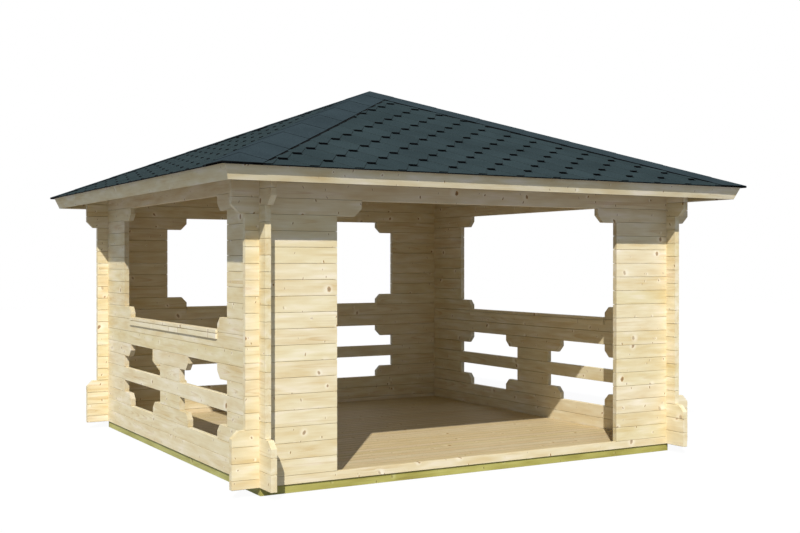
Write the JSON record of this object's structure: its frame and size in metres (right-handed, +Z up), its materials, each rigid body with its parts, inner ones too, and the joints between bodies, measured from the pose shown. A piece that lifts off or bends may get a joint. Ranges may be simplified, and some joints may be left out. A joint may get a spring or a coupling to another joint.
{
  "type": "log garden gazebo",
  "caption": "Square open garden gazebo of interlocked notched logs with a doorway, wide window openings and a pyramid shingle roof",
  "frame": {"origin": "middle of the plan at the underside of the ground bearers", "axes": "+X along the front wall to the right, +Y from the front wall to the back wall, +Z up"},
  "size_m": [4.685, 4.685, 3.1891],
  "materials": {
    "wall_logs": "planed spruce, untreated",
    "cap_boards": "planed spruce, untreated",
    "fascia_boards": "planed spruce, untreated",
    "floor_boards": "planed spruce boards",
    "roof_boards": "planed spruce boards",
    "rafter_timber": "planed spruce",
    "treated_timber": "pressure-treated pine, green",
    "shingle_felt": "bitumen shingle with mineral granules"
  },
  "bodies": {
    "root": {"back_base_logs": "wall_logs", "back_fascia": "fascia_boards", "back_low_corbels": "wall_logs", "back_low_piers": "wall_logs", "back_parapet_logs": "wall_logs", "back_rail_log": "wall_logs", "back_roof_boards": "roof_boards", "back_shingles": "shingle_felt", "back_top_plate": "wall_logs", "back_window_corbels": "wall_logs", "back_window_piers": "wall_logs", "floor": "floor_boards", "floor_joists": "treated_timber", "front_back_bearers": "treated_timber", "front_door_piers": "wall_logs", "front_fascia": "fascia_boards", "front_head_corbels": "wall_logs", "front_pier_feet": "wall_logs", "front_roof_boards": "roof_boards", "front_shingles": "shingle_felt", "front_threshold": "wall_logs", "front_top_plate": "wall_logs", "hip_caps": "shingle_felt", "hip_rafters": "rafter_timber", "jack_rafters": "rafter_timber", "king_post": "rafter_timber", "left_base_logs": "wall_logs", "left_fascia": "fascia_boards", "left_low_corbels": "wall_logs", "left_low_piers": "wall_logs", "left_parapet_logs": "wall_logs", "left_rail_log": "wall_logs", "left_roof_boards": "roof_boards", "left_shingles": "shingle_felt", "left_top_plate": "wall_logs", "left_window_corbels": "wall_logs", "left_window_piers": "wall_logs", "right_base_logs": "wall_logs", "right_fascia": "fascia_boards", "right_low_corbels": "wall_logs", "right_low_piers": "wall_logs", "right_parapet_logs": "wall_logs", "right_rail_log": "wall_logs", "right_roof_boards": "roof_boards", "right_shingles": "shingle_felt", "right_top_plate": "wall_logs", "right_window_corbels": "wall_logs", "right_window_piers": "wall_logs", "side_bearers": "treated_timber", "sill_caps": "cap_boards"}
  },
  "joints": []
}
